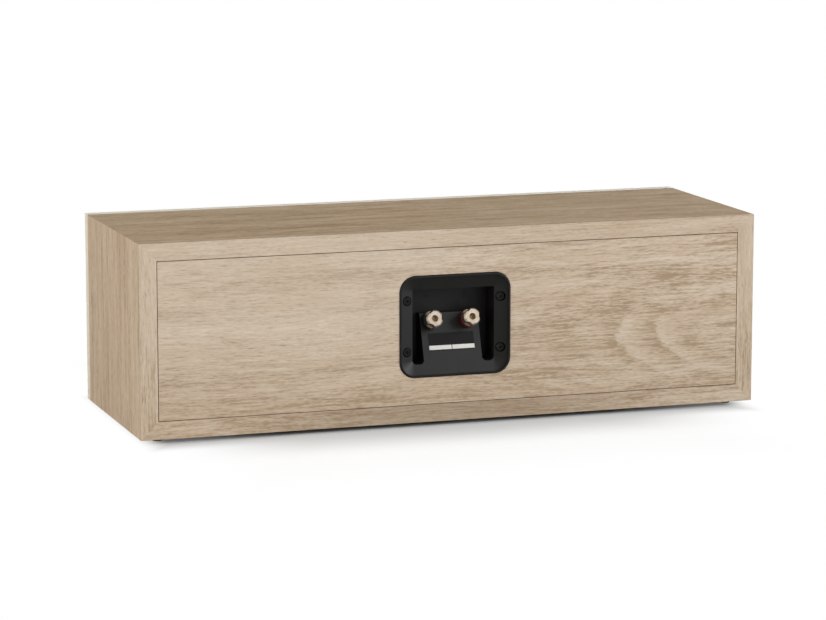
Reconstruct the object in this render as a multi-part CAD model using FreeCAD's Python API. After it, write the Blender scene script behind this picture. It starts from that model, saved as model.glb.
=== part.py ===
"""Two-way centre loudspeaker: mitred cabinet, terminal cup with binding posts, drivers and cloth grille.

Millimetres. Front faces -Y, rear faces +Y, Z is up from the floor under the feet, X runs along the cabinet.
"""
import math
import os

import FreeCAD
import Part

V = FreeCAD.Vector

# Cabinet
CABINET_W = 441.0
CABINET_H = 132.0
CABINET_D = 146.0
BOARD_T = 15.0
BOARD_REBATE = 3.0
REAR_T = 15.0
REAR_GAP = 0.5
BAFFLE_T = 15.0
BAFFLE_SET = 6.0
BAFFLE_GAP = 0.3

# Feet
FOOT_R = 4.5
FOOT_TIP_R = 3.3
FOOT_H = 3.0
FOOT_INSET_X = 14.3
FOOT_INSET_Y = 13.5

# Grille
GRILLE_T = 9.5
CLOTH_T = 0.8
CLOTH_ROUND = 1.5
GRILLE_BAR = 13.0
GRILLE_GUSSET = 25.0
PEG_R = 3.0
PEG_IN = 9.0
PEG_INSET = 20.0
SOCKET_WALL = 2.4
SOCKET_LIP = 1.8
SOCKET_LIP_T = 1.0
SOCKET_FLOOR = 1.0

# Fits
FIT = 0.3
CUP_FIT = 0.4

# Terminal cup
CUP_W = 79.2
CUP_H = 69.7
CUP_CORNER = 11.0
CUP_PROUD = 0.8
RIM_W = 1.2
RIM_ROUND = 0.5
DISH_TOP = 1.0
DISH_W = 9.0
DISH_ROUND = 0.8
RAMP_ANGLE = 18.5
RAMP_TOP = 6.5
CHANNEL_W = 8.4
CHANNEL_DROP = 2.0
POCKET_D = 21.0
POCKET_ROUND = 3.0
CUP_WALL = 2.2
RAMP_WALL = 3.0
FLANGE_D = 6.0
SEAL_T = 1.0
CUP_SCREW_EDGE = 5.95
CUP_SCREW_Z = 17.6
CUP_SCREW_R = 1.5
CUP_HEAD_R = 2.9
CUP_HEAD_T = 1.6
CUP_HEX_R = 1.2
CUP_BORE_R = 3.4
CUP_BORE_FLOOR = 4.2
CUP_SCREW_L = 8.0

# Label on the ramp
LABEL_SIDE = 4.7
LABEL_H = 12.0
LABEL_T = 0.15
LABEL_Z = -12.4
FIELD_H = 2.9
FIELD_SPLIT = 0.5
FIELD_Z = -16.3
FIELD_T = 0.1

# Binding posts
POST_EDGE = 7.5
POST_Z = 1.45
RING_R = 6.3
RING_T = 2.3
WASHER_R = 5.1
WASHER_T = 0.8
KNOB_GAP = 0.1
KNOB_R = 6.0
KNOB_L = 7.4
KNOB_FACE = 1.2
KNOB_CHAMFER = 0.9
FLUTE_R = 3.5
FLUTE_DEPTH = 1.5
KNOB_COLLAR = 1.6
FLUTES = 3
FLUTE_TURN = 60.0
POST_R = 3.4
STUD_R = 2.0
STUD_TAIL = 12.0
SOCKET_R = 2.05
SOCKET_D = 4.6
SOCKET_CHAMFER = 0.3
TAG_T = 0.8
TAG_R = 4.0
TAG_W = 3.4
TAG_L = 11.0
NUT_AF = 7.0
NUT_T = 3.2

# Woofers
WOOFER_INSET = 80.5
FLANGE_R = 51.0
FLANGE_T = 3.0
WOOFER_CUT_R = 43.5
SEAT_R = 43.2
SEAT_D = 1.5
ROLL_IN = 33.0
ROLL_OUT = 39.5
ROLL_RISE = 2.6
RUBBER_T = 0.6
CONE_DEPTH = 15.0
CONE_FLARE = 1.2
CONE_LAP = 2.0
CONE_T = 0.8
NECK_FLAT = 3.0
CAP_LAND = 1.4
CAP_RISE = 4.3
CAP_T = 0.6
COIL_R = 12.5
COIL_T = 0.45
COIL_L = 24.0
COLLAR_AT = 8.4
COLLAR_W = 1.2
COLLAR_T = 0.6
WINDING_T = 0.6
WINDING_L = 8.0
SPIDER_INSET = 2.0
SPIDER_LEDGE = 3.0
SPIDER_LAND = 2.0
SPIDER_CREASES = 6
SPIDER_WAVE = 1.2
BASKET_D = 31.0
BASKET_T = 2.0
BASKET_STEP = 1.0
BASKET_CLEAR = 0.5
BASKET_BORE = 4.0
BASKET_LEGS = 4
WINDOW_W = 28.0
WINDOW_MARGIN = 4.2
PLATE_R = 30.0
PLATE_T = 4.0
MAGNET_R = 32.0
MAGNET_T = 12.0
MAGNET_BORE = 3.0
YOKE_T = 5.0
POLE_GAP = 0.6
VENT_R = 4.0
DRIVER_SCREW_R = 1.5
DRIVER_HEAD_R = 2.5
DRIVER_HEAD_T = 1.6
DRIVER_SCREW_L = 12.0
DRIVER_SCREW_TURN = 45.0
WOOFER_SCREW_AT = 47.2

# Tweeter
TWEETER_R = 42.0
TWEETER_CUT_R = 34.0
HORN_R = 24.0
HORN_FLARE = 0.3
DOME_R = 12.6
DOME_RISE = 5.0
DOME_T = 0.3
DOME_EDGE = 17.0
THROAT_GAP = 2.0
THROAT_T = 0.8
TUBE_T = 0.5
TUBE_L = 5.0
LUG_CLEAR = 1.5
TWEETER_PLATE_R = 25.0
TWEETER_PLATE_T = 3.0
TWEETER_MAGNET_R = 27.0
TWEETER_MAGNET_T = 9.0
TWEETER_YOKE_T = 4.0
TWEETER_SCREW_AT = 38.0

# Crossover and wiring; spots on the board are shares of its width and height from its middle
XO_SIDE = 42.5
XO_W = 90.0
XO_H = 80.0
XO_T = 1.6
XO_STAND = 8.0
XO_POST_R = 3.0
XO_POST_INSET = 5.0
COIL_BIG_R = 17.0
COIL_SMALL_R = 12.0
COIL_BORE_R = 6.0
COIL_H = 18.0
CAP_R = 8.0
CAP_H = 22.0
RESISTOR_L = 25.0
RESISTOR_S = 9.0
COIL_SPOTS = ((-0.25, -0.12, COIL_BIG_R), (0.12, -0.28, COIL_SMALL_R))
CAP_SPOTS = ((0.06, 0.13), (0.28, 0.1))
RESISTOR_SPOT = (-0.22, 0.27)
WOOFER_LEAD_SPOT = 0.2
TWEETER_LEAD_SPOT = 0.38
LEAD_R = 0.9
LEAD_BEND = 4.0
LEAD_INSET = 7.0
LEAD_PITCH = 6.0
TERMINAL_W = 12.0
TERMINAL_OUT = 8.0
TERMINAL_ROOT = 2.0

# Wadding
WADDING_T = 20.0
WADDING_D = 57.0
WADDING_GAP = 4.0

# Positions that follow from the sizes above
OVERALL_D = GRILLE_T + CABINET_D + CUP_PROUD
Y_REAR = OVERALL_D / 2 - CUP_PROUD
Y_FRONT = Y_REAR - CABINET_D
Z_LOW = FOOT_H
Z_MID = FOOT_H + CABINET_H / 2
Z_HIGH = FOOT_H + CABINET_H
HALF_W = CABINET_W / 2
LIP = BOARD_T - BOARD_REBATE
Y_BAFFLE = Y_FRONT + BAFFLE_SET
Y_FLANGE = Y_BAFFLE - FLANGE_T
Y_REAR_IN = Y_REAR - REAR_T
TAN_RAMP = math.tan(math.radians(RAMP_ANGLE))
COS_RAMP = math.cos(math.radians(RAMP_ANGLE))
SIN_RAMP = math.sin(math.radians(RAMP_ANGLE))
MOUTH_X = CUP_W / 2 - RIM_W - DISH_W
MOUTH_Z = CUP_H / 2 - RIM_W - DISH_W
MOUTH_D = DISH_TOP + DISH_W * TAN_RAMP
CUP_BACK = POCKET_D + CUP_WALL
BODY_X = MOUTH_X + CUP_WALL
BODY_Z = MOUTH_Z + CHANNEL_DROP + CUP_WALL
CUP_SEAT = FLANGE_D + SEAL_T
RAMP_W = 2 * (MOUTH_X - CHANNEL_W)
POST_X = RAMP_W / 2 - POST_EDGE
LABEL_W = RAMP_W - 2 * LABEL_SIDE
WOOFER_X = HALF_W - WOOFER_INSET
XO_X = BOARD_T + XO_SIDE + XO_W / 2 - HALF_W
SOCKET_OUT = PEG_R + FIT + SOCKET_WALL
SOCKET_END = Y_BAFFLE + PEG_IN + SOCKET_FLOOR
LIP_F = SEAT_D - RUBBER_T
CONE_F = SEAT_D
CONE_EDGE = ROLL_IN - CONE_LAP
NECK_F = CONE_F + CONE_DEPTH
FORMER_R = COIL_R + COIL_T
NECK_R = FORMER_R + NECK_FLAT
COLLAR_F = NECK_F + COLLAR_AT
SPIDER_OUT = PLATE_R - SPIDER_INSET
SPIDER_IN = FORMER_R + FIT
COIL_END = NECK_F + COIL_L
GAP_R = FORMER_R + WINDING_T + POLE_GAP
PLATE_F = BASKET_D + BASKET_T
MAGNET_F = PLATE_F + PLATE_T
YOKE_F = MAGNET_F + MAGNET_T
FAR = 400.0


def box(x0, x1, y0, y1, z0, z1):
    """A block between two corners."""
    return Part.makeBox(x1 - x0, y1 - y0, z1 - z0, V(x0, y0, z0))


def rounded(half_x, half_z, r, y, x=0.0, z=Z_MID):
    """A rounded rectangle lying in a plane of constant Y."""
    edges = []
    corners = [(1, 1), (-1, 1), (-1, -1), (1, -1)]
    for k, (sx, sz) in enumerate(corners):
        centre = V(x + sx * (half_x - r), y, z + sz * (half_z - r))
        a0 = math.pi / 2 * k
        ends = []
        for a in (a0, a0 + math.pi / 4, a0 + math.pi / 2):
            ends.append(centre + V(r * math.cos(a), 0, r * math.sin(a)))
        edges.append(Part.Arc(*ends).toShape())
        nx, nz = corners[(k + 1) % 4]
        after = V(x + nx * (half_x - r), y, z + nz * (half_z - r))
        a1 = a0 + math.pi / 2
        edges.append(Part.makeLine(ends[2], after + V(r * math.cos(a1), 0, r * math.sin(a1))))
    return Part.Wire(edges)


def slab(wire, y_to):
    """A flat outline drawn out along Y to the plane y_to."""
    y_from = wire.Vertexes[0].Point.y
    return Part.Face(wire).extrude(V(0, y_to - y_from, 0))


def bar_y(x, z, y0, y1, r):
    """A round bar along Y."""
    return Part.makeCylinder(r, y1 - y0, V(x, y0, z), V(0, 1, 0))


def turned(profile, x=0.0):
    """Turn a closed profile about an axis along Y; entries are (radius, depth) or an arc's (middle, end)."""
    def place(p):
        return V(x + p[0], Y_FLANGE + p[1], Z_MID)

    edges = []
    at = profile[0]
    for entry in profile[1:] + profile[:1]:
        if isinstance(entry[0], tuple):
            middle, end = entry
            edges.append(Part.Arc(place(at), place(middle), place(end)).toShape())
        else:
            end = entry
            edges.append(Part.makeLine(place(at), place(end)))
        at = end
    return Part.Face(Part.Wire(edges)).revolve(V(x, 0, Z_MID), V(0, 1, 0), 360)


def crown(r, edge, rise):
    """Height at radius r of a spherical cap with the given edge radius and rise."""
    ball = (edge ** 2 + rise ** 2) / (2 * rise)
    return rise - ball + math.sqrt(ball ** 2 - r ** 2)


def ramp_depth(v):
    """Depth of the ramp behind the rear face at height v over the cup's middle."""
    return DISH_TOP + (v + CUP_H / 2 - RIM_W) * TAN_RAMP


def on_ramp(shape, x, v):
    """Place a shape drawn with +Z as the ramp's normal on the ramp at (x, v)."""
    shape.Placement = FreeCAD.Placement(
        V(x, Y_REAR - ramp_depth(v), Z_MID + v),
        FreeCAD.Rotation(V(0, 0, 1), V(0, COS_RAMP, SIN_RAMP)))
    return shape


def lead(points, r=LEAD_R, bend=LEAD_BEND):
    """A round lead along straight runs joined by tangent bends."""
    pts = [V(*p) for p in points]
    edges = []
    at = pts[0]
    for before, here, after in zip(pts, pts[1:], pts[2:]):
        d0 = (before - here).normalize()
        d1 = (after - here).normalize()
        half = d0.getAngle(d1) / 2
        run = bend / math.tan(half)
        mid_dir = (d0 + d1).normalize()
        centre = here + mid_dir * (bend / math.sin(half))
        a = here + d0 * run
        b = here + d1 * run
        edges.append(Part.makeLine(at, a))
        edges.append(Part.Arc(a, centre - mid_dir * bend, b).toShape())
        at = b
    edges.append(Part.makeLine(at, pts[-1]))
    ring = Part.Wire(Part.makeCircle(r, pts[0], pts[1] - pts[0]))
    return Part.Wire(edges).makePipeShell([ring], True, False)


def ring_of(count, r, turn=0.0):
    """Points (x, z) evenly spaced on a circle."""
    return [(r * math.cos(math.radians(turn + 360.0 * k / count)),
             r * math.sin(math.radians(turn + 360.0 * k / count))) for k in range(count)]


def group(shapes):
    """Separate solids kept together as one node."""
    return Part.makeCompound([s for shape in shapes for s in shape.Solids])


def cabinet_boards():
    """Four boards cut on the mitre from one sleeve, rebated inside at both ends."""
    sleeve = box(-HALF_W, HALF_W, Y_FRONT, Y_REAR, Z_LOW, Z_HIGH)
    inner_x = HALF_W - BOARD_T
    seat_x = HALF_W - LIP
    hollow = box(-inner_x, inner_x, Y_FRONT, Y_REAR, Z_LOW + BOARD_T, Z_HIGH - BOARD_T)
    back = box(-seat_x, seat_x, Y_REAR_IN, Y_REAR, Z_LOW + LIP, Z_HIGH - LIP)
    front = box(-seat_x, seat_x, Y_FRONT, Y_BAFFLE + BAFFLE_T, Z_LOW + LIP, Z_HIGH - LIP)
    sleeve = sleeve.cut([hollow, back, front])
    m = CABINET_H / 2
    outlines = {
        "cabinet_top": [(-HALF_W, Z_HIGH), (HALF_W, Z_HIGH), (HALF_W - m, Z_MID), (-HALF_W + m, Z_MID)],
        "cabinet_bottom": [(-HALF_W, Z_LOW), (HALF_W, Z_LOW), (HALF_W - m, Z_MID), (-HALF_W + m, Z_MID)],
        "cabinet_side_a": [(HALF_W, Z_HIGH), (HALF_W, Z_LOW), (HALF_W - m, Z_MID)],
        "cabinet_side_b": [(-HALF_W, Z_HIGH), (-HALF_W, Z_LOW), (-HALF_W + m, Z_MID)],
    }
    boards = {}
    for name, outline in outlines.items():
        points = [V(x, Y_FRONT, z) for x, z in outline]
        wedge = Part.Face(Part.makePolygon(points + points[:1])).extrude(V(0, CABINET_D, 0))
        boards[name] = sleeve.common(wedge)
    return boards


def feet():
    """Four round bumpers under the corners, narrower where they stand."""
    made = []
    for sx in (-1, 1):
        for y in (Y_REAR - FOOT_INSET_Y, Y_FRONT + FOOT_INSET_Y):
            made.append(Part.makeCone(FOOT_TIP_R, FOOT_R, FOOT_H, V(sx * (HALF_W - FOOT_INSET_X), y, 0)))
    return group(made)


def cup_spots():
    """The four screw places of the cup."""
    return [(sx * (CUP_W / 2 - CUP_SCREW_EDGE), Z_MID + sz * CUP_SCREW_Z)
            for sx in (-1, 1) for sz in (-1, 1)]


def terminal_cup():
    """Rounded frame, dished to a pocket; the lower strip runs on as the ramp between two side channels."""
    flange = slab(rounded(CUP_W / 2, CUP_H / 2, CUP_CORNER, Y_REAR + CUP_PROUD), Y_REAR - FLANGE_D)
    rim = [e for e in flange.Edges
           if all(abs(p.Point.y - Y_REAR - CUP_PROUD) < 1e-6 for p in e.Vertexes)]
    flange = flange.makeFillet(RIM_ROUND, rim)
    body = slab(rounded(BODY_X, BODY_Z, POCKET_ROUND, Y_REAR - FLANGE_D), Y_REAR - CUP_BACK)
    cup = flange.fuse(body)
    half_x = CUP_W / 2 - RIM_W
    half_z = CUP_H / 2 - RIM_W
    corner = CUP_CORNER - RIM_W
    lip = slab(rounded(half_x, half_z, corner, Y_REAR + CUP_PROUD), Y_REAR - DISH_TOP)
    dish = Part.makeLoft([rounded(half_x, half_z, corner, Y_REAR - DISH_TOP),
                          rounded(MOUTH_X, MOUTH_Z, DISH_ROUND, Y_REAR - MOUTH_D)], True, True)
    low = Z_MID - MOUTH_Z
    step = Z_MID + RAMP_TOP
    upper = box(-MOUTH_X, MOUTH_X, Y_REAR - POCKET_D, Y_REAR - MOUTH_D, step, Z_MID + MOUTH_Z)
    cuts = [lip, dish, upper]
    for sx in (-1, 1):
        mid_x = sx * (MOUTH_X + RAMP_W / 2) / 2
        half = (MOUTH_X - RAMP_W / 2) / 2
        foot = low - CHANNEL_DROP
        reach = (step - foot + POCKET_ROUND) / 2
        outline = rounded(half, reach, POCKET_ROUND, Y_REAR - DISH_TOP, mid_x, foot + reach)
        leg = slab(outline, Y_REAR - POCKET_D)
        square = box(mid_x - half, mid_x + half, Y_REAR - POCKET_D, Y_REAR - DISH_TOP,
                     foot + POCKET_ROUND, step)
        cuts += [leg.common(box(-FAR, FAR, -FAR, FAR, 0, foot + POCKET_ROUND)), square]
    side = [V(-RAMP_W / 2, Y_REAR - MOUTH_D, low),
            V(-RAMP_W / 2, Y_REAR - ramp_depth(RAMP_TOP), step),
            V(-RAMP_W / 2, Y_REAR - MOUTH_D, step)]
    cuts.append(Part.Face(Part.makePolygon(side + side[:1])).extrude(V(RAMP_W, 0, 0)))
    hollow_x = RAMP_W / 2 - CUP_WALL
    skin = RAMP_WALL / COS_RAMP
    v0 = 2 * CUP_WALL - BODY_Z
    v1 = RAMP_TOP - CUP_WALL
    side = [V(-hollow_x, Y_REAR - ramp_depth(v0) - skin, Z_MID + v0),
            V(-hollow_x, Y_REAR - ramp_depth(v1) - skin, Z_MID + v1),
            V(-hollow_x, Y_REAR - CUP_BACK, Z_MID + v1),
            V(-hollow_x, Y_REAR - CUP_BACK, Z_MID + v0)]
    cuts.append(Part.Face(Part.makePolygon(side + side[:1])).extrude(V(2 * hollow_x, 0, 0)))
    for x, z in cup_spots():
        cuts.append(bar_y(x, z, Y_REAR - CUP_BORE_FLOOR, Y_REAR + CUP_PROUD, CUP_BORE_R))
        cuts.append(bar_y(x, z, Y_REAR - FLANGE_D, Y_REAR - CUP_BORE_FLOOR, CUP_SCREW_R + FIT))
    for sx in (-1, 1):
        hole = Part.makeCylinder(STUD_R + FIT, 3 * RAMP_WALL, V(0, 0, -2 * RAMP_WALL))
        cuts.append(on_ramp(hole, sx * POST_X, POST_Z))
    for cut in cuts:
        cup = cup.cut(cut)
    return cup.removeSplitter()


def cup_opening(extra):
    """Outline half sizes of the cup's body with room round it."""
    return BODY_X + extra, BODY_Z + extra


def cup_seal():
    """Foam ring between the flange and the floor of the recess in the rear panel."""
    seal = slab(rounded(CUP_W / 2 - CUP_FIT, CUP_H / 2 - CUP_FIT, CUP_CORNER, Y_REAR - FLANGE_D),
                Y_REAR - CUP_SEAT)
    half_x, half_z = cup_opening(FIT)
    seal = seal.cut(slab(rounded(half_x, half_z, POCKET_ROUND + FIT, Y_REAR), Y_REAR - CUP_BACK))
    for x, z in cup_spots():
        seal = seal.cut(bar_y(x, z, Y_REAR - CUP_SEAT, Y_REAR, CUP_SCREW_R + FIT))
    return seal


def cup_screws():
    """Pan-head screws with a six-sided socket."""
    made = []
    floor = Y_REAR - CUP_BORE_FLOOR
    for x, z in cup_spots():
        head = bar_y(x, z, floor, floor + CUP_HEAD_T, CUP_HEAD_R)
        top = [e for e in head.Edges if abs(e.BoundBox.YMin - floor - CUP_HEAD_T) < 1e-6]
        head = head.makeChamfer(CUP_HEAD_T / 4, top)
        hexa = [V(x + a, floor + CUP_HEAD_T / 2, z + b) for a, b in ring_of(6, CUP_HEX_R)]
        socket = Part.Face(Part.makePolygon(hexa + hexa[:1])).extrude(V(0, CUP_HEAD_T, 0))
        shank = bar_y(x, z, floor - CUP_SCREW_L, floor, CUP_SCREW_R)
        made.append(head.cut(socket).fuse(shank))
    return group(made)


def rear_panel():
    """Inset rear board with a stepped recess for the cup."""
    gap_x = HALF_W - LIP - REAR_GAP
    panel = box(-gap_x, gap_x, Y_REAR_IN, Y_REAR, Z_LOW + LIP + REAR_GAP, Z_HIGH - LIP - REAR_GAP)
    recess = slab(rounded(CUP_W / 2 + CUP_FIT, CUP_H / 2 + CUP_FIT, CUP_CORNER + CUP_FIT, Y_REAR),
                  Y_REAR - CUP_SEAT)
    half_x, half_z = cup_opening(2 * FIT)
    through = slab(rounded(half_x, half_z, POCKET_ROUND + 2 * FIT, Y_REAR), Y_REAR_IN)
    cuts = [recess, through]
    for x, z in cup_spots():
        deep = Y_REAR - CUP_BORE_FLOOR - CUP_SCREW_L - FIT
        cuts.append(bar_y(x, z, deep, Y_REAR, CUP_SCREW_R + FIT))
    for cut in cuts:
        panel = panel.cut(cut)
    return panel


def label_parts():
    """Bare label on the ramp and the two blank white fields on it."""
    plate = on_ramp(Part.makeBox(LABEL_W, LABEL_H, LABEL_T, V(-LABEL_W / 2, -LABEL_H / 2, 0)), 0, LABEL_Z)
    fields = []
    width = (LABEL_W - FIELD_SPLIT) / 2
    drop = (LABEL_Z - FIELD_Z) / COS_RAMP
    for start in (-LABEL_W / 2, FIELD_SPLIT / 2):
        field = Part.makeBox(width, FIELD_H, FIELD_T, V(start, drop - FIELD_H / 2, LABEL_T))
        fields.append(on_ramp(field, 0, LABEL_Z))
    return plate, group(fields)


def post_parts(x):
    """One binding post: post, ring, clamp washer, knob, nut and tag, drawn upright and laid on the ramp."""
    knob_at = RING_T + WASHER_T + KNOB_GAP
    post_top = knob_at + KNOB_L - KNOB_FACE - FIT
    post = Part.makeCylinder(STUD_R, RAMP_WALL + STUD_TAIL + RING_T, V(0, 0, -RAMP_WALL - STUD_TAIL))
    post = post.fuse(Part.makeCylinder(POST_R, post_top - RING_T, V(0, 0, RING_T)))
    post = post.cut(Part.makeCylinder(SOCKET_R, SOCKET_D, V(0, 0, post_top - SOCKET_D)))
    ring = Part.makeCylinder(RING_R, RING_T)
    ring = ring.cut(Part.makeCylinder(STUD_R + FIT, RING_T))
    washer = Part.makeCylinder(WASHER_R, WASHER_T, V(0, 0, RING_T))
    washer = washer.cut(Part.makeCylinder(POST_R + FIT, WASHER_T, V(0, 0, RING_T)))
    shoulder = knob_at + KNOB_L - KNOB_CHAMFER
    knob = Part.makeCylinder(KNOB_R, KNOB_L - KNOB_CHAMFER, V(0, 0, knob_at))
    knob = knob.fuse(Part.makeCone(KNOB_R, KNOB_R - KNOB_CHAMFER, KNOB_CHAMFER, V(0, 0, shoulder)))
    for fx, fy in ring_of(FLUTES, KNOB_R + FLUTE_R - FLUTE_DEPTH, FLUTE_TURN):
        knob = knob.cut(Part.makeCylinder(FLUTE_R, KNOB_L, V(fx, fy, knob_at + KNOB_COLLAR)))
    knob = knob.cut(Part.makeCylinder(POST_R + FIT, KNOB_L - KNOB_FACE, V(0, 0, knob_at)))
    knob = knob.cut(Part.makeCylinder(SOCKET_R, KNOB_L, V(0, 0, knob_at)))
    knob = knob.cut(Part.makeCone(SOCKET_R, SOCKET_R + SOCKET_CHAMFER, SOCKET_CHAMFER,
                                  V(0, 0, knob_at + KNOB_L - SOCKET_CHAMFER)))
    tag_at = -RAMP_WALL - TAG_T
    tag = Part.makeCylinder(TAG_R, TAG_T, V(0, 0, tag_at))
    tag = tag.fuse(Part.makeBox(TAG_W, TAG_L, TAG_T, V(-TAG_W / 2, 0, tag_at)))
    tag = tag.cut(Part.makeCylinder(STUD_R + FIT, TAG_T, V(0, 0, tag_at)))
    corners = [V(a, b, tag_at - NUT_T) for a, b in ring_of(6, NUT_AF / math.sqrt(3))]
    nut = Part.Face(Part.makePolygon(corners + corners[:1])).extrude(V(0, 0, NUT_T))
    nut = nut.cut(Part.makeCylinder(STUD_R + FIT, NUT_T, V(0, 0, tag_at - NUT_T)))
    return [on_ramp(s, x, POST_Z) for s in (post, ring, washer, knob, nut, tag)]


def driver_screws(x, at):
    """Four pan-head screws round a driver."""
    made = []
    for a, b in ring_of(4, at, DRIVER_SCREW_TURN):
        head = bar_y(x + a, Z_MID + b, Y_FLANGE - DRIVER_HEAD_T, Y_FLANGE, DRIVER_HEAD_R)
        rim = [e for e in head.Edges if abs(e.BoundBox.YMax - Y_FLANGE + DRIVER_HEAD_T) < 1e-6]
        head = head.makeChamfer(DRIVER_HEAD_T / 3, rim)
        shank = bar_y(x + a, Z_MID + b, Y_FLANGE, Y_FLANGE + DRIVER_SCREW_L, DRIVER_SCREW_R)
        made.append(head.fuse(shank))
    return made


def screw_holes(shape, x, at):
    """Open the places of the four driver screws."""
    for a, b in ring_of(4, at, DRIVER_SCREW_TURN):
        deep = Y_FLANGE + DRIVER_SCREW_L + FIT
        shape = shape.cut(bar_y(x + a, Z_MID + b, Y_FLANGE, deep, DRIVER_SCREW_R + FIT))
    return shape


def basket(x):
    """Pressed basket: flange, cone of four legs, spider ledge and magnet seat, with a terminal tab."""
    wall = WOOFER_CUT_R - BASKET_CLEAR
    bore = GAP_R + BASKET_BORE
    ledge = SPIDER_OUT - SPIDER_LEDGE
    shell = turned([(SEAT_R, 0), (FLANGE_R, 0), (FLANGE_R, FLANGE_T), (wall, FLANGE_T),
                    (PLATE_R - BASKET_STEP, BASKET_D), (PLATE_R, BASKET_D), (PLATE_R, PLATE_F),
                    (bore, PLATE_F), (bore, BASKET_D), (ledge, BASKET_D), (ledge, COLLAR_F),
                    (SPIDER_OUT - BASKET_STEP, COLLAR_F),
                    (wall - BASKET_T - BASKET_STEP, FLANGE_T + BASKET_STEP),
                    (ROLL_OUT, FLANGE_T), (ROLL_OUT, SEAT_D), (SEAT_R, SEAT_D)], x)
    deep = FLANGE_T + WINDOW_MARGIN
    tall = COLLAR_F - WINDOW_MARGIN - deep
    for k in range(BASKET_LEGS):
        window = Part.makeBox(FAR, tall, WINDOW_W, V(0, deep, -WINDOW_W / 2))
        window.Placement = FreeCAD.Placement(V(x, Y_FLANGE, Z_MID),
                                             FreeCAD.Rotation(V(0, 1, 0), 360.0 * k / BASKET_LEGS))
        shell = shell.cut(window)
    tab = box(x - TERMINAL_W / 2, x + TERMINAL_W / 2, Y_FLANGE + BASKET_D, Y_FLANGE + PLATE_F,
              Z_MID + PLATE_R - TERMINAL_ROOT, Z_MID + PLATE_R + TERMINAL_OUT)
    return screw_holes(shell.fuse(tab), x, WOOFER_SCREW_AT)


def spider(x):
    """Creased disc between the basket's ledge and the collar of the coil."""
    inner = SPIDER_IN + SPIDER_LAND
    step = (SPIDER_OUT - SPIDER_LEDGE - inner) / SPIDER_CREASES
    creases = [(inner, 0.0)]
    for k in range(SPIDER_CREASES):
        lean = SPIDER_WAVE if k % 2 else -SPIDER_WAVE
        creases.append((inner + step * (k + 0.5), lean))
    creases.append((inner + step * SPIDER_CREASES, 0.0))
    rim = SPIDER_OUT - BASKET_STEP - FIT
    line = [(SPIDER_IN, 0.0)] + creases + [(rim, 0.0)]
    front = [(r, COLLAR_F - RUBBER_T + lean) for r, lean in line]
    back = [(r, COLLAR_F + lean) for r, lean in reversed(line)]
    return turned(front + back, x)


def woofer(x):
    """One woofer, from the flange back to the yoke."""
    mid = (ROLL_IN + ROLL_OUT) / 2
    crest = LIP_F - ROLL_RISE
    surround = turned([(SEAT_R - FIT, LIP_F), (SEAT_R - FIT, SEAT_D), (ROLL_OUT - RUBBER_T, SEAT_D),
                       ((mid, crest + RUBBER_T), (ROLL_IN + RUBBER_T, SEAT_D)), (CONE_EDGE, SEAT_D),
                       (CONE_EDGE, LIP_F), (ROLL_IN, LIP_F), ((mid, crest), (ROLL_OUT, LIP_F))], x)
    face_f = NECK_F - CONE_T
    cone_r = (CONE_EDGE + NECK_R) / 2
    cone_f = (CONE_F + NECK_F) / 2 - CONE_FLARE
    cone = turned([(ROLL_IN, CONE_F), (ROLL_IN, CONE_F + CONE_T), (CONE_EDGE + CONE_T / 2, CONE_F + CONE_T),
                   ((cone_r + CONE_T / 2, cone_f + CONE_T / 2), (NECK_R + CONE_T / 2, NECK_F)),
                   (COIL_R, NECK_F), (COIL_R, face_f), (NECK_R, face_f),
                   ((cone_r, cone_f - CONE_T / 2), (CONE_EDGE, CONE_F))], x)
    cap_r = NECK_R - CAP_LAND
    cap_in = cap_r - 2 * CAP_T
    under_f = face_f - crown(cap_in / 2, cap_in, CAP_RISE)
    over_f = face_f - CAP_T - crown(cap_r / 2, cap_r, CAP_RISE)
    cap = turned([(cap_r, face_f), (cap_in, face_f),
                  ((cap_in / 2, under_f), (0.0, face_f - CAP_RISE)), (0.0, face_f - CAP_RISE - CAP_T),
                  ((cap_r / 2, over_f), (cap_r, face_f - CAP_T))], x)
    collar = FORMER_R + COLLAR_W
    wound = FORMER_R + WINDING_T
    coil = turned([(COIL_R, NECK_F), (FORMER_R, NECK_F), (FORMER_R, COLLAR_F), (collar, COLLAR_F),
                   (collar, COLLAR_F + COLLAR_T), (FORMER_R, COLLAR_F + COLLAR_T),
                   (FORMER_R, COIL_END - WINDING_L), (wound, COIL_END - WINDING_L), (wound, COIL_END),
                   (COIL_R, COIL_END)], x)
    plate = turned([(GAP_R, PLATE_F), (PLATE_R, PLATE_F), (PLATE_R, MAGNET_F), (GAP_R, MAGNET_F)], x)
    bore = GAP_R + MAGNET_BORE
    magnet = turned([(bore, MAGNET_F), (MAGNET_R, MAGNET_F), (MAGNET_R, YOKE_F), (bore, YOKE_F)], x)
    pole = COIL_R - POLE_GAP
    yoke = turned([(VENT_R, PLATE_F), (pole, PLATE_F), (pole, YOKE_F), (PLATE_R, YOKE_F),
                   (PLATE_R, YOKE_F + YOKE_T), (VENT_R, YOKE_F + YOKE_T)], x)
    return {"basket": basket(x), "surround": surround, "cone": cone, "dust_cap": cap, "voice_coil": coil,
            "spider": spider(x), "front_plate": plate, "magnet": magnet, "yoke": yoke}


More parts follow.
